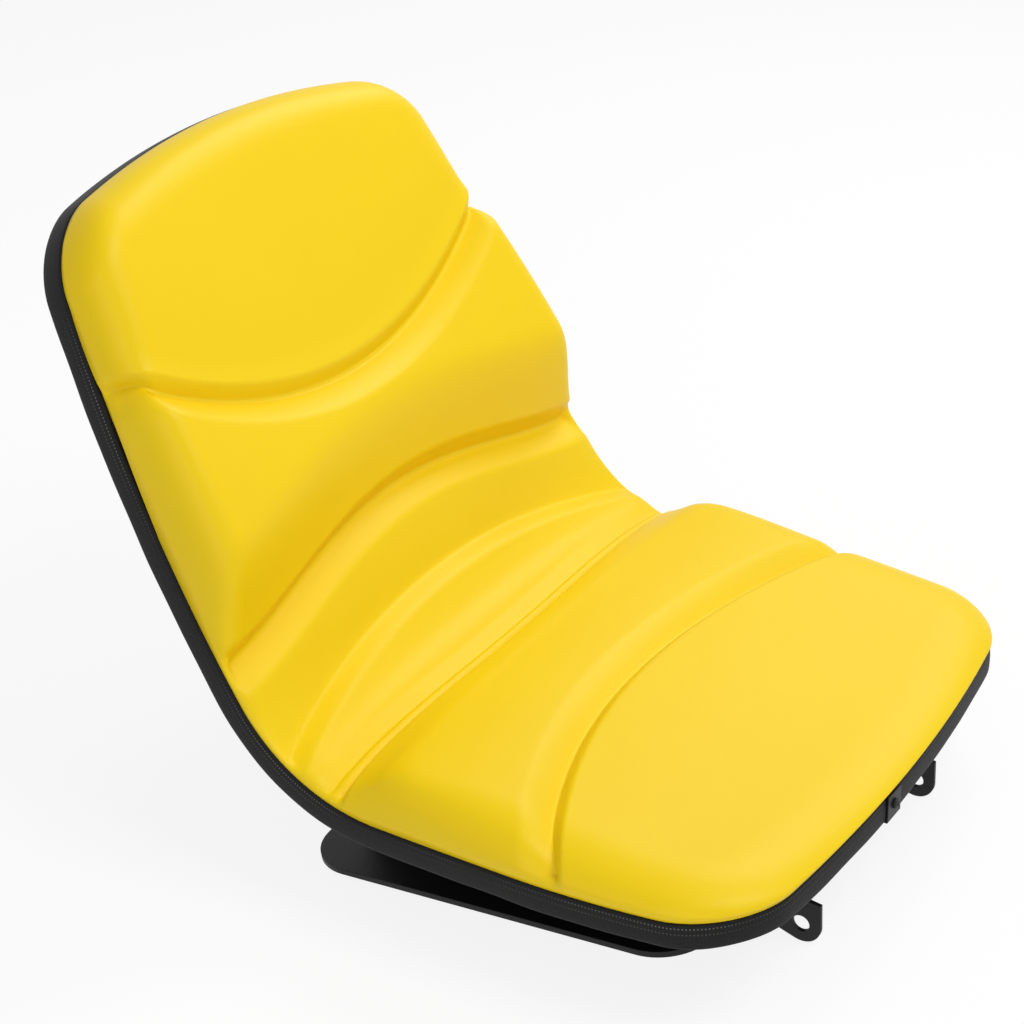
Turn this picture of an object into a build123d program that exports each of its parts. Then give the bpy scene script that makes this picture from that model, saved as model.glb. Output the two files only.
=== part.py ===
# High-back tractor seat: a moulded cushion in a stamped steel pan, on a plate with two pivot ears.
# Millimetres and degrees. The origin is the middle of the pivot axis, the seat faces -Y and +Z is up.
import os
from math import atan2, cos, degrees, exp, hypot, log1p, pi, radians, sin, sqrt

from build123d import *

os.makedirs("parts", exist_ok=True)

# Rim line: the lower edge of the edging on the centre plane, from the front to the top of the back.
bend_start_y = 257.5
bend_start_z = 55.0
seat_run = 292.7
seat_radius = 6000.0
bend_radius = 156.0
bend_angle = 57.7
back_run = 376.9
back_radius = 2690.0

# Plan outline of the edging's outer face.
overall_width = 474.2
seat_side_radius = 860.0
back_side_radius = 2300.0
side_flat = 108.0
back_taper_start = 20.0
front_bow_radius = 1330.0
front_corner_radius = 78.0
top_bow_radius = 644.0
top_corner_radius = 66.0

# Edging: a U section over the pan's edge.
trim_height = 19.4
trim_leg = 2.0
trim_inner_leg = 1.6
trim_crown = 2.0
trim_inner_rise = 3.0
trim_edge_round = 0.9

# Pan.
pan_sheet = 1.5
pan_depth = 27.5
pan_flare = 44.0
land_width = 330.0
land_corner_radius = 45.0
land_draft = 8.0
land_margin = 12.0
land_edge_round = 9.0
bead_radius = 14.0
bead_height = 6.0
bead_spacing = 150.0
bead_start = 70.0
bead_length = 230.0
drain_diameter = 10.0
drain_spacing = 140.0
drain_setback = 60.0

# Cushion: lift of the five panels over the edging, and the moulded grooves between them.
front_panel_lift = 24.0
seat_panel_lift = 46.0
lower_back_lift = 11.0
lumbar_panel_lift = 61.0
head_panel_lift = 48.0
cushion_roll = 42.0
cushion_wall = 4.0
cushion_inset = 0.4
cushion_side_inset = 1.2
seat_dish = 11.0
front_groove_s = 217.0
front_groove_bow = -57.0
front_groove_depth = 11.0
crease_s = 345.0
crease_bow = -5.0
crease_depth = 12.0
lumbar_groove_s = 507.0
lumbar_groove_bow = -34.0
lumbar_groove_depth = 12.0
head_groove_s = 615.0
head_groove_bow = 84.0
head_groove_depth = 10.0
groove_width = 15.0

# Mounting plate and pivot ears.
plate_width = 410.0
plate_depth = 330.0
plate_sheet = 4.5
plate_corner_radius = 40.0
plate_rear_y = 357.5
plate_tilt = 7.0
pivot_bore = 13.0
ear_spacing = 194.0
ear_sheet = 3.0
ear_end_radius = 15.0
ear_front_reach = 14.5
ear_front_height = 20.0
ear_foot_length = 75.0
ear_flange_width = 26.0
ear_bend_radius = 2.5

# Fasteners.
bolt_diameter = 8.0
bolt_clearance = 1.0
bolt_length = 18.0
bolt_head_flats = 13.0
bolt_head_height = 5.3
bolt_spacing_x = 250.0
bolt_spacing_y = 160.0
bolt_rear_setback = 105.0
flat_washer_diameter = 17.0
flat_washer_thickness = 1.6
lock_washer_diameter = 14.2
lock_washer_thickness = 2.0
lock_washer_gap = 1.6
nut_flats = 13.0
nut_height = 6.5
nut_pocket_gap = 1.0
clip_offset = -30.0
clip_width = 20.0
clip_sheet = 1.0
clip_lip = 3.0
clip_overlap = 2.0
screw_diameter = 3.9
screw_length = 13.0
screw_head_diameter = 7.6
screw_head_height = 2.4

# Clearance between seated pieces, and how far the working blocks run past the part.
fit_gap = 0.25
run_out = 60.0
cut_over = 2.0
loft_margin = 3.0
loft_overrun = 2.0
block_reach = 900.0

half_width = overall_width / 2
bend_run = bend_radius * radians(bend_angle)
path_length = seat_run + bend_run + back_run
back_sweep = degrees(back_run / back_radius)
trim_slot = pan_sheet + 2 * fit_gap
trim_depth = trim_leg + trim_slot + trim_inner_leg
pan_outset = -(trim_leg + fit_gap)
pan_top = trim_height - trim_crown - fit_gap
neck_outset = -(trim_depth + fit_gap)
seat_centre = Vector(bend_start_y, bend_start_z + seat_radius)
bend_centre = Vector(bend_start_y, bend_start_z + bend_radius)
bend_end = bend_centre + Vector(sin(radians(bend_angle)), -cos(radians(bend_angle))) * bend_radius
back_centre = bend_end + Vector(-sin(radians(bend_angle)), cos(radians(bend_angle))) * back_radius


def rim_frame(s):
    # Point and heading of the rim line at the distance s from its front end.
    if s < seat_run:
        centre, radius = seat_centre, seat_radius
        heading = (s - seat_run) / seat_radius
    elif s < seat_run + bend_run:
        centre, radius = bend_centre, bend_radius
        heading = (s - seat_run) / bend_radius
    else:
        centre, radius = back_centre, back_radius
        heading = radians(bend_angle) + (s - seat_run - bend_run) / back_radius
    point = centre + Vector(sin(heading), -cos(heading)) * radius
    return point, heading


def station_plane(s):
    # Section plane across the seat: local x is +X and local y is the lift off the rim line.
    point, heading = rim_frame(s)
    return Plane((0, point.X, point.Y), x_dir=(1, 0, 0), z_dir=(0, -cos(heading), -sin(heading)))


def rim_arcs(lift):
    seat_sweep = degrees((seat_run + run_out) / seat_radius)
    long_back_sweep = degrees((back_run + run_out) / back_radius)
    seat = CenterArc(seat_centre, seat_radius - lift, -90 - seat_sweep, seat_sweep)
    bend = CenterArc(bend_centre, bend_radius - lift, -90, bend_angle)
    back = CenterArc(back_centre, back_radius - lift, -90 + bend_angle, long_back_sweep)
    return [seat, bend, back]


def slab(low, high, reach=overall_width):
    # Layer between two lifts off the rim line, out to reach on each side.
    under = rim_arcs(low)
    over = rim_arcs(high)
    front = Line(under[0] @ 0, over[0] @ 0)
    top = Line(under[2] @ 1, over[2] @ 1)
    profile = make_face(under + over + [front, top])
    return extrude(Plane.YZ * profile, amount=reach, both=True)


def plan_end(end_radius, side_radius, corner_radius, straight_start, outset):
    # Rounded end of the plan at local y = 0, sides that swell to full width at straight_start.
    end = Pos(0, end_radius) * Circle(end_radius + outset)
    for side in (-1, 1):
        end &= Pos(side * (half_width - side_radius), straight_start) * Circle(side_radius + outset)
    end &= Pos(0, straight_start - block_reach) * Rectangle(4 * half_width, 2 * block_reach)
    corners = end.vertices().filter_by(lambda v: v.Y < straight_start - 1)
    return fillet(corners, corner_radius + outset)


def seat_plan(outset):
    # Plan of the seat seen from above, and the plane where its sides become straight.
    front, heading = rim_frame(0)
    straight = seat_run - side_flat
    end = plan_end(front_bow_radius, seat_side_radius, front_corner_radius, straight, outset)
    return Plane((0, front.X, 0)), end, straight


def back_plan(outset):
    # The same for the back, seen square to it.
    top, heading = rim_frame(path_length)
    lean = radians(bend_angle + back_sweep / 2)
    down = Vector(0, -cos(lean), -sin(lean))
    normal = Vector(0, -sin(lean), cos(lean))
    straight = back_run + bend_radius * sin(radians(bend_angle)) - back_taper_start
    end = plan_end(top_bow_radius, back_side_radius, top_corner_radius, straight, outset)
    return Plane((0, top.X, top.Y), x_dir=down.cross(normal), z_dir=normal), end, straight


def plan_prism(plan):
    # Prism of one end of the plan that runs on past the other end, clear of the sides.
    plane, end, straight = plan
    body = Pos(0, straight + block_reach / 2) * Rectangle(overall_width + 2 * run_out, block_reach)
    return extrude(plane * (end + body), amount=block_reach, both=True)


def block(low, high, outset):
    # Layer between two lifts, cut to the plan: two shaped ends and the straight-sided bend between them.
    middle = slab(low, high, half_width + outset)
    ends = []
    for plane, end, straight in (seat_plan(outset), back_plan(outset)):
        ends.append(slab(low, high) & extrude(plane * end, amount=block_reach, both=True))
        start = plane.from_local_coords(Vector(0, straight, 0))
        middle = split(middle, bisect_by=Plane(start, z_dir=plane.y_dir), keep=Keep.TOP)
    return ends[0] + middle + ends[1]


def faces_at(solid, lift):
    # Faces of a solid that lie at one lift off the rim line.
    radii = [radius - lift for radius in (seat_radius, bend_radius, back_radius)]
    curved = solid.faces().filter_by(GeomType.CYLINDER)
    across = curved.filter_by(lambda f: abs(f.axis_of_rotation.direction.X) > 0.9)
    return across.filter_by(lambda f: min(abs(f.radius - r) for r in radii) < 0.01)


def rim_edges_at(solid, lift):
    # Perimeter of those faces.
    edges = [e for f in faces_at(solid, lift) for e in f.edges()]
    return [e for e in edges if sum(e.is_same(o) for o in edges) == 1]


plate_plane = Plane(
    (0, plate_rear_y, -ear_end_radius),
    x_dir=(1, 0, 0),
    z_dir=(0, sin(radians(plate_tilt)), cos(radians(plate_tilt))),
)
bolt_places = [
    (side * bolt_spacing_x / 2, -bolt_rear_setback - row * bolt_spacing_y) for side in (-1, 1) for row in (0, 1)
]


def at_bolts(tool, level):
    # Copies of a tool at the four bolts, at a level over the plate's underside.
    return [plate_plane * Pos(x, y, level) * tool for x, y in bolt_places]


def bead(side, inset):
    # Pressed stiffening bead on the back of the pan.
    radius = bead_radius - inset
    lean = bend_angle + back_sweep / 2
    middle, heading = rim_frame(seat_run + bend_run + bead_start + bead_length / 2)
    sink = bead_radius - bead_height - pan_depth
    centre = middle + Vector(-sin(heading), cos(heading)) * sink
    place = Pos(side * bead_spacing / 2, centre.X, centre.Y) * Rot(lean - 90, 0, 0)
    capsule = Cylinder(radius, bead_length)
    for end in (-1, 1):
        capsule += Pos(0, 0, end * bead_length / 2) * Sphere(radius)
    return place * capsule


def flared_dish(inset):
    # Dish whose underside rises to the edging in one wide flare, all round.
    slope = 1 / cos(atan2(pan_depth, pan_flare))
    rise = pan_depth - inset * (pan_depth / pan_flare - slope + 1)
    run = pan_flare * (1 + inset * (slope - 1) / pan_depth) - inset
    dish = block(inset - pan_depth, pan_top, pan_outset - inset)
    edge = max(rim_edges_at(dish, inset - pan_depth), key=lambda e: e.length)
    under = [f for f in faces_at(dish, inset - pan_depth) if any(edge.is_same(e) for e in f.edges())]
    return dish.chamfer(run, rise, [edge], under[0])


def pan_form(inset):
    # Outside form of the pan, moved inwards by inset: a dish, a flat land on the plate, two beads.
    dish = flared_dish(inset)
    land_depth = plate_depth - 2 * land_margin
    sketch = RectangleRounded(land_width - 2 * inset, land_depth - 2 * inset, land_corner_radius - inset)
    land = extrude(plate_plane * Pos(0, -plate_depth / 2, plate_sheet + inset) * sketch, 110, taper=-land_draft)
    floor = land.faces().sort_by(Axis((0, 0, 0), plate_plane.z_dir))[0]
    land = fillet(floor.edges(), land_edge_round - inset)
    land &= slab(-block_reach / 6, -pan_depth / 2)
    return dish + land + bead(-1, inset) + bead(1, inset)


def make_pan():
    pan = pan_form(0) - pan_form(pan_sheet)
    pan -= at_bolts(Cylinder((bolt_diameter + bolt_clearance) / 2, 40), plate_sheet)
    for side in (-1, 1):
        place = Pos(side * drain_spacing / 2, -drain_setback, plate_sheet)
        pan -= plate_plane * place * Cylinder(drain_diameter / 2, 20)
    return pan - screw_place() * Cylinder(screw_diameter / 2 + fit_gap, 40)


def make_trim():
    ring = block(0, trim_height, 0)
    ring = fillet(rim_edges_at(ring, trim_height), trim_edge_round)
    ring -= block(-cut_over, trim_height + cut_over, -trim_depth)
    ring -= block(-cut_over, trim_inner_rise, -trim_leg - trim_slot)
    slot = block(-cut_over, trim_height - trim_crown, -trim_leg)
    slot -= block(-2 * cut_over, trim_height, -trim_leg - trim_slot)
    return ring - slot - screw_place() * Cylinder(screw_diameter / 2 + fit_gap, 40)


def outline_half_width(s):
    # Half width of the plan at the distance s along the rim line.
    side_start = seat_run - side_flat
    if s < side_start:
        return half_width - (side_start - s) ** 2 / (2 * seat_side_radius)
    taper_start = seat_run + back_taper_start + bend_run / 6
    return half_width - max(s - taper_start, 0) ** 2 / (2 * back_side_radius)


def edge_distance(s, x):
    # Distance from a point of the plan to the outline, measured on the rim surface.
    side = outline_half_width(s) - abs(x)
    front = s - x * x / (2 * front_bow_radius)
    top = path_length - s - x * x / (2 * top_bow_radius)
    end, radius = (front, front_corner_radius) if front < top else (top, top_corner_radius)
    if end < radius and side < radius:
        return radius - hypot(radius - end, radius - side)
    return min(end, side)


def smooth_step(value):
    t = min(max(value, 0), 1)
    return t * t * (3 - 2 * t)


def soft_floor(value):
    # Keeps a value above 0.02 with a smooth turn.
    floor, blend = 0.02, 0.03
    return max(value, floor) + blend * log1p(exp(-abs(value - floor) / blend))


def cushion_lift(s, x):
    # Lift of the moulded skin over the edging's crown.
    u = min(abs(x) / half_width, 1)
    front_groove = front_groove_s + front_groove_bow * u * u
    crease = crease_s + crease_bow * u * u
    lumbar_groove = lumbar_groove_s + lumbar_groove_bow * u * u
    head_groove = head_groove_s + head_groove_bow * u * u
    lift = front_panel_lift
    lift += (seat_panel_lift - front_panel_lift) * smooth_step((s - front_groove + 40) / 100)
    lift += (lower_back_lift - seat_panel_lift) * smooth_step((s - crease + 75) / 85)
    lift += (lumbar_panel_lift - lower_back_lift) * smooth_step((s - lumbar_groove + 12) / 75)
    lift += (head_panel_lift - lumbar_panel_lift) * smooth_step((s - head_groove + 50) / 110)
    lift -= seat_dish * (1 - u * u)
    grooves = (
        (front_groove, front_groove_depth),
        (crease, crease_depth),
        (lumbar_groove, lumbar_groove_depth),
        (head_groove, head_groove_depth),
    )
    for place, depth in grooves:
        lift -= depth * exp(-(((s - place) / groove_width) ** 2))
    inward = soft_floor((edge_distance(s, x) + cushion_wall) / cushion_roll)
    return max(lift, lower_back_lift / 2) * sqrt(1 - (1 - min(inward, 1)) ** 2)


def cushion_section(s):
    # Closed section of the cushion above the edging, across the seat.
    columns = 21
    from_front = smooth_step((s - front_corner_radius) / run_out)
    from_top = smooth_step((path_length - s - top_corner_radius) / run_out)
    reach = outline_half_width(s) + loft_margin - (loft_margin + cushion_side_inset) * from_front * from_top
    base = trim_height + fit_gap
    params = [i / (columns - 1) for i in range(columns)]
    xs = [reach * sin((p - 0.5) * pi) for p in params]
    points = [Vector(x, base + cushion_lift(s, x)) for x in xs]
    skin = Edge.make_spline(points, parameters=params)
    left = Edge.make_line((-reach, base), points[0])
    right = Edge.make_line(points[-1], (reach, base))
    under = Edge.make_line((reach, base), (-reach, base))
    return station_plane(s) * Face(Wire([under, left, skin, right]))


def make_cushion():
    rows = 50
    stations = []
    for i in range(rows + 1):
        share = 0.4 * i / rows + 0.6 * (0.5 - 0.5 * cos(pi * i / rows))
        stations.append((path_length + 2 * loft_overrun) * share - loft_overrun)
    upper = loft([cushion_section(s) for s in stations])
    upper = upper & plan_prism(seat_plan(-cushion_inset)) & plan_prism(back_plan(-cushion_inset))
    fill = pan_form(pan_sheet + fit_gap) & slab(-block_reach / 6, trim_inner_rise - fit_gap)
    neck = block(trim_inner_rise / 6, trim_height + 2 * fit_gap + 0.4, neck_outset)
    cushion = upper + neck + fill
    pocket = nut_height + nut_pocket_gap
    tool = Pos(0, 0, pocket / 2) * Cylinder(nut_flats * 0.58 + nut_pocket_gap, pocket)
    tip = Pos(0, 0, bolt_length / 2) * Cylinder(bolt_diameter / 2 + nut_pocket_gap, bolt_length)
    cushion -= at_bolts(tool + tip, plate_sheet + pan_sheet)
    return cushion - screw_place() * Cylinder(screw_diameter / 2 + fit_gap, 3 * screw_length)


def screw_place():
    # Axis of the clip screw: local z points out of the front of the edging.
    front, heading = rim_frame(0)
    turn = clip_offset / front_bow_radius
    y = front.X + front_bow_radius * (1 - cos(turn))
    z = front.Y + trim_height * 0.5
    return Plane((clip_offset, y, z), x_dir=(cos(turn), sin(turn), 0), z_dir=(sin(turn), -cos(turn), 0))


def make_clip():
    # Folded sheet clip: a face over the joint of the edging and a lip under it.
    height = trim_height + clip_overlap
    face = Pos(0, -clip_overlap / 2, clip_sheet / 2 + fit_gap) * Box(clip_width, height, clip_sheet)
    lip_y = -trim_height / 2 - clip_overlap + clip_sheet / 2
    lip = Pos(0, lip_y, fit_gap + clip_sheet - clip_lip / 2) * Box(clip_width, clip_sheet, clip_lip)
    clip = face + lip
    clip = fillet(clip.edges().filter_by(Axis.X).group_by(Axis.Y)[0].sort_by(Axis.Z)[-1:], clip_sheet * 0.9)
    clip -= Cylinder(screw_diameter / 2 + fit_gap, 20)
    return screw_place() * clip


def make_clip_screw():
    seat = fit_gap * 2 + clip_sheet
    head = Pos(0, 0, seat + screw_head_height / 2) * Cylinder(screw_head_diameter / 2, screw_head_height)
    head = fillet(head.edges().sort_by(Axis.Z)[-1:], screw_head_height * 0.6)
    for turn in (0, 90):
        head -= Pos(0, 0, seat + screw_head_height) * Rot(0, 0, turn) * Box(screw_head_diameter * 0.55, 0.9, 2.6)
    shank = Pos(0, 0, seat - screw_length / 2 + 0.5) * Cylinder(screw_diameter / 2, screw_length + 1)
    return screw_place() * (head + chamfer(shank.edges().sort_by(Axis.Z)[:1], screw_diameter * 0.3))


def make_plate():
    sketch = RectangleRounded(plate_width, plate_depth, plate_corner_radius)
    plate = extrude(plate_plane * Pos(0, -plate_depth / 2, 0) * sketch, plate_sheet)
    plate -= at_bolts(Cylinder((bolt_diameter + bolt_clearance) / 2, 40), 0)
    return plate


def make_lug(side):
    # Ear with a round end, folded flange on top, welded under the plate.
    x = side * ear_spacing / 2
    rear = plate_plane.from_local_coords(Vector(0, ear_foot_length - plate_depth, 0))
    front = plate_plane.from_local_coords(Vector(0, -plate_depth, 0))
    profile = make_hull(
        [Pos(0, 0) * Edge.make_circle(ear_end_radius)]
        + [Edge.make_line((-ear_front_reach, 0), (-ear_front_reach, ear_front_height))]
        + [Edge.make_line((front.Y, front.Z), (rear.Y, rear.Z))]
    )
    web = extrude(Plane.YZ.offset(x) * profile, ear_sheet / 2, both=True)
    flange_x = x - side * (ear_flange_width - ear_sheet) / 2
    flange = plate_plane * Pos(flange_x, ear_foot_length / 2 - plate_depth, -ear_sheet / 2) * Box(
        ear_flange_width, ear_foot_length, ear_sheet
    )
    lug = web + flange
    top = lug.edges().filter_by(Axis((0, 0, 0), plate_plane.y_dir)).group_by(Axis((0, 0, 0), plate_plane.z_dir))[-1]
    lug = fillet(top.sort_by(Axis.X)[-1 if side > 0 else 0], ear_bend_radius)
    return lug - Pos(x, 0, 0) * Rot(0, 90, 0) * Cylinder(pivot_bore / 2, 4 * ear_sheet)


def make_bolt():
    # Hex bolt, head down, with its bearing face at z = 0.
    head = extrude(RegularPolygon(bolt_head_flats / 2, 6, major_radius=False), -bolt_head_height)
    crown = Cone(bolt_head_flats * 0.44, bolt_head_flats * 0.44 + 2 * bolt_head_height, bolt_head_height)
    head &= Pos(0, 0, -bolt_head_height / 2) * crown
    shank = Pos(0, 0, bolt_length / 2) * Cylinder(bolt_diameter / 2, bolt_length)
    return head + chamfer(shank.edges().sort_by(Axis.Z)[-1:], 1)


def make_fasteners():
    under = -flat_washer_thickness
    flat = Cylinder(flat_washer_diameter / 2, flat_washer_thickness) - Cylinder(bolt_diameter / 2 + 0.3, 10)
    lock = Cylinder(lock_washer_diameter / 2, lock_washer_thickness) - Cylinder(bolt_diameter / 2 + 0.2, 10)
    lock -= Pos(lock_washer_diameter / 2, 0, 0) * Rot(35, 0, 0) * Box(lock_washer_diameter, lock_washer_gap, 9)
    nut = extrude(RegularPolygon(nut_flats / 2, 6, major_radius=False), nut_height)
    nut -= Cylinder(bolt_diameter / 2 + 0.1, 40)
    return {
        "mounting_bolts": at_bolts(make_bolt(), under - lock_washer_thickness),
        "lock_washers": at_bolts(lock, under - lock_washer_thickness / 2),
        "flat_washers": at_bolts(flat, under / 2),
        "weld_nuts": at_bolts(nut, plate_sheet + pan_sheet),
    }


nodes = {
    "seat_cushion": make_cushion(),
    "seat_pan": make_pan(),
    "edge_trim": make_trim(),
    "trim_clip": make_clip(),
    "clip_screw": make_clip_screw(),
    "mounting_plate": make_plate(),
    "pivot_lug_right": make_lug(-1),
    "pivot_lug_left": make_lug(1),
}
for name, solids in make_fasteners().items():
    nodes[name] = Compound(children=solids)

for name, shape in nodes.items():
    shape.label = name
    export_step(shape, f"parts/{name}.step")
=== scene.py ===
import math

import bmesh
import bpy
import numpy as np
from mathutils import Matrix, Vector


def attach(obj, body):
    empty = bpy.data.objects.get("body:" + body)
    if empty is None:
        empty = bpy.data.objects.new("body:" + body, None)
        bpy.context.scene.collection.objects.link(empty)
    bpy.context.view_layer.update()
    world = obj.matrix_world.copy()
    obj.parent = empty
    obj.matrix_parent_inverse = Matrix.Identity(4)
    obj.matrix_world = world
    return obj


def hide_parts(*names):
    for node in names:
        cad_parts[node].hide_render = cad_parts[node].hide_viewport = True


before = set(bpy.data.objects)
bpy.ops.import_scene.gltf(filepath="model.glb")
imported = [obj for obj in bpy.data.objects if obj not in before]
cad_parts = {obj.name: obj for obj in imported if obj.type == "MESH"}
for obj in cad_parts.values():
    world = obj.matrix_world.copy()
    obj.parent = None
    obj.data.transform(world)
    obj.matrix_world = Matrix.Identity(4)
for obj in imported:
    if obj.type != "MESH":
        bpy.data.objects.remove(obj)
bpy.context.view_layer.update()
print("frame loaded")

# Rim line and plan of the seat in metres: s runs along the rim from the front, x runs across.
# The back's taper begins one of the bend's parts and taperStart beyond the seat.
rim = {
    "bendStartY": 0.2575,
    "bendStartZ": 0.055,
    "seatRun": 0.2927,
    "seatRadius": 6.0,
    "bendRadius": 0.156,
    "bendAngle": math.radians(57.7),
    "backRun": 0.3769,
    "backRadius": 2.69,
    "halfWidth": 0.2371,
    "sideFlat": 0.108,
    "taperStart": 0.020,
    "bendParts": 6,
    "seatSideRadius": 0.86,
    "backSideRadius": 2.30,
    "frontBowRadius": 1.33,
    "frontCorner": 0.055,
    "topBowRadius": 0.644,
    "topCorner": 0.0424,
    "cornerPasses": 6,
}
rim["bendRun"] = rim["bendRadius"] * rim["bendAngle"]
rim["length"] = rim["seatRun"] + rim["bendRun"] + rim["backRun"]


def rimFrame(s):
    seatHeading = (s - rim["seatRun"]) / rim["seatRadius"]
    bendHeading = (s - rim["seatRun"]) / rim["bendRadius"]
    backHeading = rim["bendAngle"] + (s - rim["seatRun"] - rim["bendRun"]) / rim["backRadius"]
    onSeat = s < rim["seatRun"]
    onBend = ~onSeat & (s < rim["seatRun"] + rim["bendRun"])
    heading = np.where(onSeat, seatHeading, np.where(onBend, bendHeading, backHeading))
    radius = np.where(onSeat, rim["seatRadius"], np.where(onBend, rim["bendRadius"], rim["backRadius"]))
    lean = rim["bendAngle"]
    offset = rim["bendRadius"] - rim["backRadius"]
    backY = rim["bendStartY"] + offset * math.sin(lean)
    backZ = rim["bendStartZ"] + rim["bendRadius"] - offset * math.cos(lean)
    centreY = np.where(onSeat | onBend, rim["bendStartY"], backY)
    centreZ = np.where(onSeat | onBend, rim["bendStartZ"] + radius, backZ)
    return centreY + radius * np.sin(heading), centreZ - radius * np.cos(heading), heading


def liftedPoint(s, x, lift):
    y, z, heading = rimFrame(s)
    return np.stack([x, y - lift * np.sin(heading), z + lift * np.cos(heading)], -1)


def outlineHalfWidth(s):
    sideStart = rim["seatRun"] - rim["sideFlat"]
    taperStart = rim["seatRun"] + rim["taperStart"] + rim["bendRun"] / rim["bendParts"]
    seatLoss = np.maximum(sideStart - s, 0) ** 2 / (2 * rim["seatSideRadius"])
    backLoss = np.maximum(s - taperStart, 0) ** 2 / (2 * rim["backSideRadius"])
    return rim["halfWidth"] - seatLoss - backLoss


def edgeOffsets(s, x):
    # Distances to the nearer end and to the nearer side, and that end's corner radius.
    front = s - x * x / (2 * rim["frontBowRadius"])
    top = rim["length"] - s - x * x / (2 * rim["topBowRadius"])
    isFront = front < top
    corner = np.where(isFront, rim["frontCorner"], rim["topCorner"])
    return np.where(isFront, front, top), outlineHalfWidth(s) - np.abs(x), corner, isFront


def edgeDistance(s, x):
    end, side, corner, _ = edgeOffsets(s, x)
    inCorner = (end < corner) & (side < corner)
    return np.where(inCorner, corner - np.hypot(corner - end, corner - side), np.minimum(end, side))


def roundCorners(s, x):
    # Pulls the square corners of the plan grid in to their round outline.
    end, side, corner, isFront = edgeOffsets(s, x)
    inCorner = (end < corner) & (side < corner)
    p = np.clip(1 - side / corner, 0, 1)
    q = np.clip(1 - end / corner, 0, 1)
    newSide = corner * (1 - p * np.sqrt(1 - q * q / 2))
    newEnd = corner * (1 - q * np.sqrt(1 - p * p / 2))
    mirror = np.sign(x)
    for _ in range(rim["cornerPasses"]):
        fromFront = newEnd + x * x / (2 * rim["frontBowRadius"])
        fromTop = rim["length"] - newEnd - x * x / (2 * rim["topBowRadius"])
        s = np.where(inCorner, np.where(isFront, fromFront, fromTop), s)
        x = np.where(inCorner, mirror * (outlineHalfWidth(s) - newSide), x)
    return s, x


def makeObject(name, vertices, faces, smooth=True):
    mesh = bpy.data.meshes.new(name)
    build = bmesh.new()
    made = [build.verts.new(v) for v in vertices]
    for face in faces:
        build.faces.new([made[i] for i in face])
    bmesh.ops.recalc_face_normals(build, faces=build.faces[:])
    for face in build.faces:
        face.smooth = smooth
    build.to_mesh(mesh)
    build.free()
    obj = bpy.data.objects.new(name, mesh)
    bpy.context.scene.collection.objects.link(obj)
    return obj


# Lifts and dishes go from the front pad to the head.
# The hip's lead and run are for the middle and for the sides.
# Each groove: place on the centre line, bow and curl to the sides, depth, width to the front and to the top,
# sharpness of the shoulders, round of the bottom.
cushion = {
    "rollRows": 24,
    "panelRows": (54, 60, 18, 34, 40, 62, 56),
    "crowding": 0.75,
    "gridPasses": 4,
    "columns": 176,
    "rollColumns": 26,
    "base": 0.0197,
    "inset": 0.0016,
    "roll": 0.050,
    "frontRoll": 0.0462,
    "backRoll": 0.031,
    "headRoll": 0.042,
    "frontPower": 2.1,
    "backPower": 3.0,
    "headSoftening": 0.9,
    "backEase": (0.15, 0.17),
    "headEase": (0.66, 0.14),
    "lifts": (0.022, 0.0441, 0.0095, 0.054, 0.0425),
    "dishes": (0.010, 0.0142, -0.002, 0.0142, 0.011),
    "crowns": (0.0015, 0.005, 0.005),
    "seatRise": 0.27,
    "hipLead": (0.03, 0.0734),
    "hipRun": (0.09, 0.0953),
    "lumbarLead": 0.008,
    "lumbarRun": 0.089,
    "headLead": 0.03,
    "headRun": 0.06,
    "topOverhang": 0.009,
    "topStretch": 0.09,
    "frontOverhang": 0.0035,
    "frontSwell": 0.3,
    "tucks": ((0.0058, 0.0), (0.0062, 0.016)),
    "grooves": {
        "front": (0.2184, -0.0694, -0.0011, 0.0088, 0.008, 0.025, 1.4, 0.0010),
        "crease": (0.3368, 0.0174, -0.0211, 0.0065, 0.008, 0.007, 1.4, 0.0008),
        "seam": (0.3463, 0.0174, -0.0211, 0.0050, 0.009, 0.016, 1.6, 0.0014),
        "fold": (0.442, -0.055, 0.0, 0.0092, 0.017, 0.060, 1.35, 0.0030),
        "lumbar": (0.5104, -0.074, 0.036, 0.0132, 0.020, 0.014, 1.15, 0.0010),
        "head": (0.6128, 0.089, 0.003, 0.0098, 0.024, 0.010, 1.35, 0.0010),
    },
    "grooveFade": 0.012,
}


def smoothStep(t):
    t = np.clip(t, 0, 1)
    return t * t * (3 - 2 * t)


def grooveLines(x):
    u = np.clip(np.abs(x) / rim["halfWidth"], 0, 1)
    lines = {}
    for name, (place, bow, curl, *_) in cushion["grooves"].items():
        lines[name] = place + bow * u**2 + curl * u**4
    return lines


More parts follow.
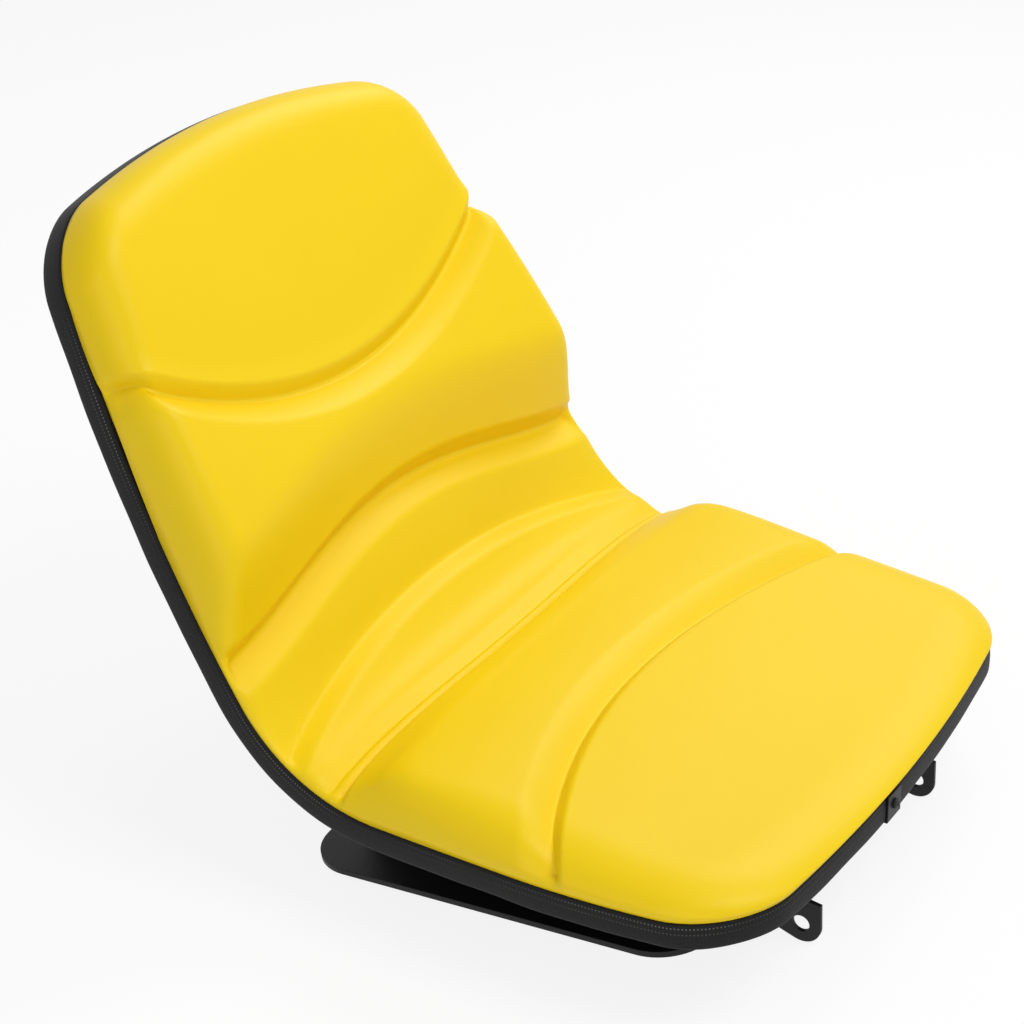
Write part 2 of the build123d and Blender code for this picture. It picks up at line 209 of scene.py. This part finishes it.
def panelLift(s, x):
    # Lift of the five panels without their grooves, hollowed by a dish that differs from panel to panel.
    u = np.clip(np.abs(x) / rim["halfWidth"], 0, 1) ** 2
    line = grooveLines(x)
    leadMiddle, leadSide = cushion["hipLead"]
    runMiddle, runSide = cushion["hipRun"]
    hipLead = leadMiddle + (leadSide - leadMiddle) * u
    hipRun = runMiddle + (runSide - runMiddle) * u
    steps = (
        smoothStep(s / cushion["seatRise"]),
        smoothStep((s - line["crease"] + hipLead) / hipRun),
        smoothStep((s - line["lumbar"] + cushion["lumbarLead"]) / cushion["lumbarRun"]),
        smoothStep((s - line["head"] + cushion["headLead"]) / cushion["headRun"]),
    )
    lifts, dishes = cushion["lifts"], cushion["dishes"]
    lift = lifts[0] - dishes[0] * (1 - u)
    for k, step in enumerate(steps):
        rise = lifts[k + 1] - lifts[k]
        lift = lift + (rise - (dishes[k + 1] - dishes[k]) * (1 - u)) * step
    spans = ((line["front"], line["crease"]), (line["lumbar"], line["head"]), (line["head"], rim["length"]))
    for crown, (start, finish) in zip(cushion["crowns"], spans):
        t = np.clip((s - start) / (finish - start), 0, 1)
        lift = lift + crown * 4 * t * (1 - t)
    return lift


def grooveDepth(s, x):
    line = grooveLines(x)
    total = 0 * s
    for name, (*_, depth, frontWidth, topWidth, power, bottom) in cushion["grooves"].items():
        away = s - line[name]
        reach = np.sqrt(away**2 + bottom**2) - bottom
        near = np.clip(1 - reach / np.where(away < 0, frontWidth, topWidth), 0, 1)
        total = total + depth * near**power
    return total


def cushionGrid():
    # Rows follow the groove lines and stand closer beside them.
    roll = cushion["roll"]
    ease = 1 - np.cos(np.linspace(0, 1, cushion["rollRows"], endpoint=False) * math.pi / 2)
    sideEase = 1 - np.cos(np.linspace(0, 1, cushion["rollColumns"], endpoint=False) * math.pi / 2)
    span = np.linspace(-1, 1, cushion["columns"] - 2 * cushion["rollColumns"])
    shares = []
    for panel, count in enumerate(cushion["panelRows"]):
        p = np.linspace(0, 1, count, endpoint=panel == len(cushion["panelRows"]) - 1)
        shares += [(panel, f) for f in p - cushion["crowding"] * np.sin(2 * math.pi * p) / (2 * math.pi)]
    rows = 2 * len(ease) + len(shares)
    s = np.linspace(0, rim["length"], rows)[:, None] + np.zeros(cushion["columns"])
    for _ in range(cushion["gridPasses"]):
        inner = (outlineHalfWidth(s) - roll)[:, :1]
        outer = inner + roll * (1 - sideEase)
        x = np.concatenate([-outer, inner * span, outer[:, ::-1]], 1)
        start = x * x / (2 * rim["frontBowRadius"])
        finish = rim["length"] - x * x / (2 * rim["topBowRadius"])
        knots = [start + roll, *grooveLines(x).values(), finish - roll]
        made = [start[0] + roll * e for e in ease]
        for i, (panel, f) in enumerate(shares):
            row = len(ease) + i
            made.append(knots[panel][row] * (1 - f) + knots[panel + 1][row] * f)
        made += [finish[-1] - roll * e for e in ease[::-1]]
        s = np.array(made)
    return roundCorners(s, x)


def edgeRoll(s, x):
    # Share of the full lift, round at the front pad and tighter up the back, and the wall's reach outwards.
    backStart, backRun = cushion["backEase"]
    headStart, headRun = cushion["headEase"]
    back = smoothStep((s - backStart) / backRun)
    head = smoothStep((s - headStart) / headRun)
    roll = cushion["frontRoll"] + (cushion["backRoll"] - cushion["frontRoll"]) * back
    roll = roll + (cushion["headRoll"] - cushion["backRoll"]) * head
    power = cushion["frontPower"] + (cushion["backPower"] - cushion["frontPower"]) * back
    power = power - cushion["headSoftening"] * head
    inward = np.clip(edgeDistance(s, x) / roll, 0, 1)
    share = (1 - (1 - inward) ** power) ** (1 / power)
    end, _, _, isFront = edgeOffsets(s, x)
    front = cushion["frontOverhang"] * smoothStep(share / cushion["frontSwell"]) * (1 - inward) * (1 - back)
    top = cushion["topOverhang"] * share**2 * smoothStep(1 - end / cushion["topStretch"]) * ~isFront
    return share, front + top


def outwards(s, x):
    # Direction in the plan that leads straight out over the nearest edge.
    step = 0.0005
    ds = edgeDistance(s - step, x) - edgeDistance(s + step, x)
    dx = edgeDistance(s, x - step) - edgeDistance(s, x + step)
    size = np.maximum(np.hypot(ds, dx), 1e-9)
    return ds / size, dx / size


def makeCushion():
    s, x = cushionGrid()
    rows, columns = s.shape
    share, out = edgeRoll(s, x)
    lift = panelLift(s, x) * share
    ds, dx = outwards(s, x)
    across = x * (1 - cushion["inset"] / rim["halfWidth"])
    points = liftedPoint(s + ds * out, across + dx * out, cushion["base"] + lift)
    normal = np.cross(np.gradient(points, axis=1), np.gradient(points, axis=0))
    normal /= np.maximum(np.linalg.norm(normal, axis=2, keepdims=True), 1e-12)
    if normal[rows // 2, columns // 2, 2] < 0:
        normal = -normal
    sink = grooveDepth(s, x) * smoothStep(lift / cushion["grooveFade"])
    points = points - normal * sink[..., None]
    vertices = [tuple(p) for p in points.reshape(-1, 3)]
    faces = []
    for i in range(rows - 1):
        for j in range(columns - 1):
            a = i * columns + j
            faces.append((a, a + 1, a + columns + 1, a + columns))
    loop = [(0, j) for j in range(columns)] + [(i, columns - 1) for i in range(1, rows)]
    loop += [(rows - 1, j) for j in range(columns - 2, -1, -1)] + [(i, 0) for i in range(rows - 2, 0, -1)]
    outline = np.array([(s[i, j], x[i, j]) for i, j in loop])
    ring = [i * columns + j for i, j in loop]
    away = outline - np.array([rim["length"] / 2, 0])
    away /= np.linalg.norm(away, axis=1, keepdims=True)
    for tuck, drop in cushion["tucks"]:
        spots = outline - away * tuck
        first = len(vertices)
        vertices += [tuple(p) for p in liftedPoint(spots[:, 0], spots[:, 1], cushion["base"] - drop)]
        count = len(loop)
        for k in range(count):
            n = (k + 1) % count
            faces.append((ring[k], first + k, first + n, ring[n]))
        ring = [first + k for k in range(count)]
    obj = makeObject("cushionCover", vertices, faces)
    build = bmesh.new()
    build.from_mesh(obj.data)
    rest = [e for e in build.edges if e.is_boundary]
    bmesh.ops.triangle_fill(build, edges=rest, use_beauty=True, use_dissolve=False)
    bmesh.ops.recalc_face_normals(build, faces=build.faces[:])
    build.to_mesh(obj.data)
    build.free()
    return obj, outline


cover, outline = makeCushion()
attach(cover, "root")
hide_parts("seat_cushion")
print("cushion", len(cover.data.polygons))

# Section of the edging as steps out from the outline and up from the rim line.
edging = {
    "points": 900,
    "ripple": 0.0005,
    "waves": ((1.0, 23, 0.0), (0.7, 41, 1.3)),
    "lowerLip": 0.003,
    "section": (
        (-0.0020, 0.0000),
        (-0.0012, -0.0004),
        (-0.0004, 0.0002),
        (0.0000, 0.0016),
        (0.0003, 0.0060),
        (0.0004, 0.0100),
        (0.0003, 0.0140),
        (0.0000, 0.0172),
        (-0.0006, 0.0187),
        (-0.0018, 0.0194),
        (-0.0036, 0.0195),
        (-0.0050, 0.0190),
        (-0.0056, 0.0176),
        (-0.0056, 0.0030),
        (-0.0040, 0.0030),
        (-0.0040, 0.0174),
        (-0.0020, 0.0174),
    ),
}


def makeEdging():
    step = np.linalg.norm(np.roll(outline, -1, 0) - outline, axis=1)
    run = np.concatenate([[0], np.cumsum(step)])
    total = run[-1]
    want = np.linspace(0, total, edging["points"], endpoint=False)
    s = np.interp(want, run, np.append(outline[:, 0], outline[0, 0]))
    x = np.interp(want, run, np.append(outline[:, 1], outline[0, 1]))
    tangent = np.stack([np.roll(s, -2) - np.roll(s, 2), np.roll(x, -2) - np.roll(x, 2)], -1)
    tangent /= np.linalg.norm(tangent, axis=1, keepdims=True)
    outS, outX = -tangent[:, 1], tangent[:, 0]
    if np.sum(outX * x) < 0:
        outS, outX = -outS, -outX
    turn = 2 * math.pi * want / total
    waves = sum(share * np.sin(beats * turn + phase) for share, beats, phase in edging["waves"])
    ripple = edging["ripple"] * waves * 0.5
    count = len(edging["section"])
    rings = []
    for out, lift in edging["section"]:
        rings.append(liftedPoint(s + outS * out, x + outX * out, lift + ripple * (lift < edging["lowerLip"])))
    vertices = np.stack(rings, 1)
    mesh = bpy.data.meshes.new("edgingTrim")
    build = bmesh.new()
    made = [build.verts.new(v) for v in vertices.reshape(-1, 3)]
    uv = build.loops.layers.uv.new("run")
    for k in range(edging["points"]):
        n = (k + 1) % edging["points"]
        for j in range(count):
            m = (j + 1) % count
            corners = (k * count + j, n * count + j, n * count + m, k * count + m)
            face = build.faces.new([made[i] for i in corners])
            face.smooth = True
            ends = ((k, j), (k + 1, j), (k + 1, m), (k, m))
            for loop, (a, b) in zip(face.loops, ends):
                loop[uv].uv = (total * a / edging["points"], edging["section"][b][1])
    bmesh.ops.recalc_face_normals(build, faces=build.faces[:])
    build.to_mesh(mesh)
    build.free()
    obj = bpy.data.objects.new("edgingTrim", mesh)
    bpy.context.scene.collection.objects.link(obj)
    return obj


trim = makeEdging()
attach(trim, "root")
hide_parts("edge_trim")
print("edging", len(trim.data.polygons))


def node(tree, kind, **values):
    made = tree.nodes.new(kind)
    for key, value in values.items():
        if hasattr(made, key):
            setattr(made, key, value)
        else:
            made.inputs[key.replace("_", " ")].default_value = value
    return made


def calc(tree, operation, first, second=None):
    made = tree.nodes.new("ShaderNodeMath")
    made.operation = operation
    for socket, value in zip(made.inputs, (first, second)):
        if isinstance(value, (int, float)):
            socket.default_value = value
        elif value is not None:
            tree.links.new(value, socket)
    return made.outputs[0]


def remap(tree, value, low, high, toLow, toHigh):
    made = node(tree, "ShaderNodeMapRange", From_Min=low, From_Max=high, To_Min=toLow, To_Max=toHigh)
    tree.links.new(value, made.inputs["Value"])
    return made.outputs["Result"]


def blend(tree, factor, first, second):
    made = node(tree, "ShaderNodeMix", data_type="RGBA")
    for socket, value in ((made.inputs[0], factor), (made.inputs[6], first), (made.inputs[7], second)):
        if isinstance(value, (int, float, tuple)):
            socket.default_value = value
        else:
            tree.links.new(value, socket)
    return made.outputs[2]


def bump(tree, height, strength, distance, normal=None):
    made = node(tree, "ShaderNodeBump", Strength=strength, Distance=distance)
    tree.links.new(height, made.inputs["Height"])
    if normal is not None:
        tree.links.new(normal, made.inputs["Normal"])
    return made.outputs["Normal"]


skinGrain = {
    "smoothness": 0.4,
    "fineness": 2.3,
    "detail": 4.0,
    "roughness": 0.6,
    "patchScale": 8.0,
    "patchDetail": 3.0,
    "speckScale": 90.0,
    "speckSize": (0.02, 0.06),
    "middle": (0.3, 0.7),
}


def surfaceGroup():
    # Fine grain, broad patches and stray specks, for every skin of the seat.
    tree = bpy.data.node_groups.new("surfaceGrain", "ShaderNodeTree")
    tree.interface.new_socket("Grain Scale", in_out="INPUT", socket_type="NodeSocketFloat")
    for name in ("Pebble", "Grain", "Patch", "Specks"):
        tree.interface.new_socket(name, in_out="OUTPUT", socket_type="NodeSocketFloat")
    given = tree.nodes.new("NodeGroupInput")
    result = tree.nodes.new("NodeGroupOutput")
    place = tree.nodes.new("ShaderNodeTexCoord").outputs["Object"]
    pebble = node(tree, "ShaderNodeTexVoronoi", feature="SMOOTH_F1", Smoothness=skinGrain["smoothness"])
    grain = node(tree, "ShaderNodeTexNoise", Detail=skinGrain["detail"], Roughness=skinGrain["roughness"])
    patch = node(tree, "ShaderNodeTexNoise", Scale=skinGrain["patchScale"], Detail=skinGrain["patchDetail"])
    specks = node(tree, "ShaderNodeTexVoronoi", Scale=skinGrain["speckScale"])
    for texture in (pebble, grain, patch, specks):
        tree.links.new(place, texture.inputs["Vector"])
    tree.links.new(given.outputs["Grain Scale"], pebble.inputs["Scale"])
    fine = calc(tree, "MULTIPLY", given.outputs["Grain Scale"], skinGrain["fineness"])
    tree.links.new(fine, grain.inputs["Scale"])
    tree.links.new(pebble.outputs["Distance"], result.inputs["Pebble"])
    tree.links.new(grain.outputs["Fac"], result.inputs["Grain"])
    tree.links.new(patch.outputs["Fac"], result.inputs["Patch"])
    spots = remap(tree, specks.outputs["Distance"], *skinGrain["speckSize"], 1.0, 0.0)
    tree.links.new(spots, result.inputs["Specks"])
    return tree


grainTree = surfaceGroup()


def newMaterial(name, grainScale):
    material = bpy.data.materials.new(name)
    material.use_nodes = True
    tree = material.node_tree
    grain = tree.nodes.new("ShaderNodeGroup")
    grain.node_tree = grainTree
    grain.inputs["Grain Scale"].default_value = grainScale
    return material, tree, tree.nodes["Principled BSDF"], grain.outputs


def grainRoughness(tree, shader, grain, low, high):
    dull = remap(tree, grain["Grain"], *skinGrain["middle"], low, high)
    tree.links.new(dull, shader.inputs["Roughness"])


# Bumps in the settings of the skins are strength and distance.
vinyl = {
    "deep": (0.850, 0.590, 0.003, 1),
    "pale": (0.880, 0.622, 0.006, 1),
    "grainScale": 820.0,
    "roughness": (0.38, 0.50),
    "specular": 0.22,
    "pebble": (0.10, 0.0004),
    "grain": (0.08, 0.0003),
}


def vinylMaterial():
    material, tree, shader, grain = newMaterial("cushionVinyl", vinyl["grainScale"])
    colour = blend(tree, grain["Patch"], vinyl["deep"], vinyl["pale"])
    tree.links.new(colour, shader.inputs["Base Color"])
    grainRoughness(tree, shader, grain, *vinyl["roughness"])
    normal = bump(tree, grain["Pebble"], *vinyl["pebble"])
    normal = bump(tree, grain["Grain"], *vinyl["grain"], normal)
    tree.links.new(normal, shader.inputs["Normal"])
    shader.inputs["Specular IOR Level"].default_value = vinyl["specular"]
    return material


# Each row of ticks: level above the rim line, half height and strength.
# The tick's half width and the rib's pitch are shares of the pitch.
band = {
    "dark": (0.004, 0.004, 0.004, 1),
    "light": (0.022, 0.022, 0.021, 1),
    # Painted shade: the crown colour turns the top of the trim near-black, standing in for the shade it lies
    # in beside the cushion's edge.
    "tick": (0.15, 0.15, 0.145, 1),
    "crown": (0.004, 0.004, 0.004, 1),
    "pitch": 0.0025,
    "rows": ((0.0162, 0.0005, 1.0), (0.0118, 0.0005, 0.45)),
    "crownShadeStart": (0.0172, 0.0182),
    "grainScale": 900.0,
    "grainTone": (0.46, 0.66),
    "tickHalf": (0.14, 0.24),
    "rowSoftness": (0.6, 1.4),
    "showing": (0.40, 0.62, 0.1, 1.0),
    "ribPitch": 0.5,
    "roughness": (0.46, 0.66),
    "specular": 0.16,
    "pebble": (0.35, 0.0006),
    "rib": (0.12, 0.0002),
}


def edgingMaterial():
    material, tree, shader, grain = newMaterial("edgingVinyl", band["grainScale"])
    place = tree.nodes.new("ShaderNodeSeparateXYZ")
    tree.links.new(node(tree, "ShaderNodeUVMap", uv_map="run").outputs["UV"], place.inputs["Vector"])
    along, up = place.outputs["X"], place.outputs["Y"]
    beat = calc(tree, "FRACT", calc(tree, "DIVIDE", along, band["pitch"]))
    fromMiddle = calc(tree, "ABSOLUTE", calc(tree, "SUBTRACT", beat, 0.5))
    tick = remap(tree, fromMiddle, *band["tickHalf"], 1.0, 0.0)
    sharp, soft = band["rowSoftness"]
    rows = None
    for level, half, share in band["rows"]:
        away = calc(tree, "ABSOLUTE", calc(tree, "SUBTRACT", up, level))
        row = calc(tree, "MULTIPLY", remap(tree, away, half * sharp, half * soft, 1.0, 0.0), share)
        rows = row if rows is None else calc(tree, "MAXIMUM", rows, row)
    showing = remap(tree, grain["Patch"], *band["showing"])
    mask = calc(tree, "MULTIPLY", calc(tree, "MULTIPLY", rows, tick), showing)
    rib = calc(tree, "SINE", calc(tree, "MULTIPLY", along, 2 * math.pi / (band["pitch"] * band["ribPitch"])))
    pale = remap(tree, grain["Grain"], *band["grainTone"], 0.0, 1.0)
    tone = blend(tree, pale, band["dark"], band["light"])
    tone = blend(tree, mask, tone, band["tick"])
    # Painted shade: above the crown's start level the trim is darkened, standing in for the shade beside the
    # cushion's edge.
    crown = remap(tree, up, *band["crownShadeStart"], 0.0, 1.0)
    tree.links.new(blend(tree, crown, tone, band["crown"]), shader.inputs["Base Color"])
    shader.inputs["Specular IOR Level"].default_value = band["specular"]
    grainRoughness(tree, shader, grain, *band["roughness"])
    normal = bump(tree, grain["Pebble"], *band["pebble"])
    normal = bump(tree, rib, *band["rib"], normal)
    tree.links.new(normal, shader.inputs["Normal"])
    return material


# Paints as dark and light tone, then the roughness from the low to the high end of the grain.
paints = {
    "blackPaint": ((0.0026, 0.0026, 0.003, 1), (0.0045, 0.0045, 0.005, 1), (0.42, 0.56)),
    # The ear and clip paints are lighter copies of the black paint: painted light, standing in for the light
    # falling on the lugs and clip while the plate lies in shade.
    "earPaintLit": ((0.0045, 0.0045, 0.0048, 1), (0.007, 0.007, 0.0074, 1), (0.40, 0.54)),
    "clipPaintLit": ((0.010, 0.010, 0.0105, 1), (0.017, 0.017, 0.0175, 1), (0.38, 0.52)),
}
coat = {
    "grainScale": 420.0,
    "speck": (0.16, 0.16, 0.155, 1),
    "speckShare": 0.06,
    "edge": 0.0011,
    "edgeSamples": 6,
    "specular": 0.25,
    "pebble": (0.06, 0.0006),
}


def paintMaterial(name):
    dark, light, roughness = paints[name]
    material, tree, shader, grain = newMaterial(name, coat["grainScale"])
    colour = blend(tree, grain["Patch"], dark, light)
    colour = blend(tree, calc(tree, "MULTIPLY", grain["Specks"], coat["speckShare"]), colour, coat["speck"])
    tree.links.new(colour, shader.inputs["Base Color"])
    grainRoughness(tree, shader, grain, *roughness)
    edge = node(tree, "ShaderNodeBevel", samples=coat["edgeSamples"], Radius=coat["edge"])
    normal = bump(tree, grain["Pebble"], *coat["pebble"], edge.outputs["Normal"])
    tree.links.new(normal, shader.inputs["Normal"])
    shader.inputs["Specular IOR Level"].default_value = coat["specular"]
    return material


zincCoat = {
    "dark": (0.44, 0.44, 0.42, 1),
    "light": (0.62, 0.61, 0.57, 1),
    "grainScale": 600.0,
    "roughness": (0.26, 0.42),
    "grain": (0.08, 0.0003),
}


def zincMaterial():
    material, tree, shader, grain = newMaterial("zincPlate", zincCoat["grainScale"])
    colour = blend(tree, grain["Patch"], zincCoat["dark"], zincCoat["light"])
    tree.links.new(colour, shader.inputs["Base Color"])
    grainRoughness(tree, shader, grain, *zincCoat["roughness"])
    tree.links.new(bump(tree, grain["Grain"], *zincCoat["grain"]), shader.inputs["Normal"])
    shader.inputs["Metallic"].default_value = 1.0
    return material


def dress(obj, material):
    obj.data.materials.clear()
    obj.data.materials.append(material)


dress(cover, vinylMaterial())
dress(trim, edgingMaterial())
packedLooks = (
    (paintMaterial("blackPaint"), ("seat_pan", "mounting_plate")),
    # The lighter ear and clip paints carry painted light rather than a different finish.
    (paintMaterial("earPaintLit"), ("pivot_lug_left", "pivot_lug_right")),
    (paintMaterial("clipPaintLit"), ("trim_clip", "clip_screw")),
    (zincMaterial(), ("mounting_bolts", "lock_washers", "flat_washers", "weld_nuts")),
)
for material, names in packedLooks:
    for name in names:
        dress(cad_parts[name], material)
print("materials")

stage = {
    "floor": -0.0152,
    "reach": 12.0,
    "colour": (0.97, 0.97, 0.97, 1),
    "roughness": 0.9,
    "white": 0.86,
}


def whiteRays(tree):
    # One where a camera, glossy or transmission ray looks at the stage.
    path = node(tree, "ShaderNodeLightPath")
    seen = calc(tree, "MAXIMUM", path.outputs["Is Camera Ray"], path.outputs["Is Glossy Ray"])
    return calc(tree, "MAXIMUM", seen, path.outputs["Is Transmission Ray"])


def makeFloor():
    r, z = stage["reach"], stage["floor"]
    corners = [(-r, -r, z), (r, -r, z), (r, r, z), (-r, r, z)]
    floor = makeObject("studioFloor", corners, [(0, 1, 2, 3)], smooth=False)
    material = bpy.data.materials.new("paleFloor")
    material.use_nodes = True
    tree = material.node_tree
    shader = tree.nodes["Principled BSDF"]
    shader.inputs["Base Color"].default_value = stage["colour"]
    shader.inputs["Roughness"].default_value = stage["roughness"]
    shader.inputs["Specular IOR Level"].default_value = 0.0
    white = node(tree, "ShaderNodeEmission", Color=(1, 1, 1, 1), Strength=1.0)
    mix = node(tree, "ShaderNodeMixShader")
    tree.links.new(calc(tree, "MULTIPLY", whiteRays(tree), stage["white"]), mix.inputs["Fac"])
    tree.links.new(shader.outputs["BSDF"], mix.inputs[1])
    tree.links.new(white.outputs["Emission"], mix.inputs[2])
    tree.links.new(mix.outputs["Shader"], tree.nodes["Material Output"].inputs["Surface"])
    dress(floor, material)


makeFloor()

view = {
    "azimuth": math.radians(-55.696),
    "elevation": math.radians(28.682),
    "roll": math.radians(-2.717),
    "distance": 1.60454,
    "target": (0.0, 0.29238, 0.19991),
    "lens": 75.47,
    "sensor": 36,
}


def makeCamera():
    a, e, roll = view["azimuth"], view["elevation"], view["roll"]
    back = Vector((math.sin(a) * math.cos(e), -math.cos(a) * math.cos(e), math.sin(e)))
    right = Vector((math.cos(a), math.sin(a), 0))
    up = back.cross(right)
    right, up = right * math.cos(roll) + up * math.sin(roll), up * math.cos(roll) - right * math.sin(roll)
    data = bpy.data.cameras.new("photoCamera")
    data.lens = view["lens"]
    data.sensor_width = view["sensor"]
    camera = bpy.data.objects.new("photoCamera", data)
    bpy.context.scene.collection.objects.link(camera)
    turn = Matrix((right, up, back)).transposed()
    stand = Vector(view["target"]) + back * view["distance"]
    camera.matrix_world = Matrix.Translation(stand) @ turn.to_4x4()
    bpy.context.scene.camera = camera


makeCamera()

lights = (
    {"name": "keySoft", "place": (0.1, -1.25, 2.45), "size": 1.3, "watts": 33},
    {"name": "sheenSoft", "place": (1.6, 0.3, 1.9), "size": 1.2, "watts": 20},
    {"name": "fillSide", "place": (-2.4, -0.3, 1.0), "size": 2.0, "watts": 14},
)
aimPoint = (0, 0.27, 0.2)
sky = {"fill": 0.36, "backdrop": 1.0}


def makeLights():
    aim = Vector(aimPoint)
    for item in lights:
        data = bpy.data.lights.new(item["name"], "AREA")
        data.shape = "DISK"
        data.size = item["size"]
        data.energy = item["watts"]
        lamp = bpy.data.objects.new(item["name"], data)
        bpy.context.scene.collection.objects.link(lamp)
        lamp.location = item["place"]
        lamp.rotation_mode = "QUATERNION"
        lamp.rotation_quaternion = (Vector(item["place"]) - aim).to_track_quat("Z", "Y")
    world = bpy.data.worlds.new("studio")
    bpy.context.scene.world = world
    world.use_nodes = True
    tree = world.node_tree
    soft = tree.nodes["Background"]
    soft.inputs["Color"].default_value = (1, 1, 1, 1)
    soft.inputs["Strength"].default_value = sky["fill"]
    plain = node(tree, "ShaderNodeBackground", Color=(1, 1, 1, 1), Strength=sky["backdrop"])
    mix = node(tree, "ShaderNodeMixShader")
    tree.links.new(whiteRays(tree), mix.inputs["Fac"])
    tree.links.new(soft.outputs["Background"], mix.inputs[1])
    tree.links.new(plain.outputs["Background"], mix.inputs[2])
    tree.links.new(mix.outputs["Shader"], tree.nodes["World Output"].inputs["Surface"])


makeLights()
bpy.context.scene.view_settings.view_transform = "Standard"
print("stage, camera and light")
